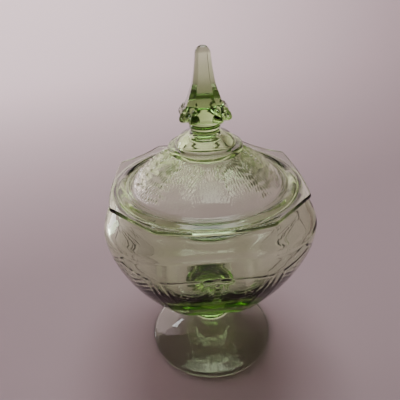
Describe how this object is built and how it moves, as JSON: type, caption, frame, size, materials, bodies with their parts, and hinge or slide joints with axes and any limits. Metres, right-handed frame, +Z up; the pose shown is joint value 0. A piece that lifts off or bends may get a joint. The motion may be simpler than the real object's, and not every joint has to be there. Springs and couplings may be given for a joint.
{
  "type": "covered candy dish",
  "caption": "Footed four-sided pressed glass candy dish with a domed, scalloped lid that lifts off by its spire finial.",
  "frame": {"origin": "on the table, under the middle of the foot's resting ring", "axes": "+Z up through the finial; the bowl's four faces look along -Y, +X, +Y and -X"},
  "size_m": [0.131, 0.131, 0.22],
  "materials": {
    "dish_glass": "fire-polished pressed glass, pale yellowish green",
    "lid_glass": "fire-polished pressed glass, pale yellowish green, finely lined on the dome"
  },
  "bodies": {
    "dish": {"foot": "dish_glass", "bowl": "dish_glass"},
    "cover": {"lid": "lid_glass", "finial": "lid_glass"}
  },
  "joints": [
    {"name": "lid_lift", "type": "slide", "parent": "dish", "child": "cover", "axis": [0, 0, 1], "range_m": [0, 0.08]}
  ]
}
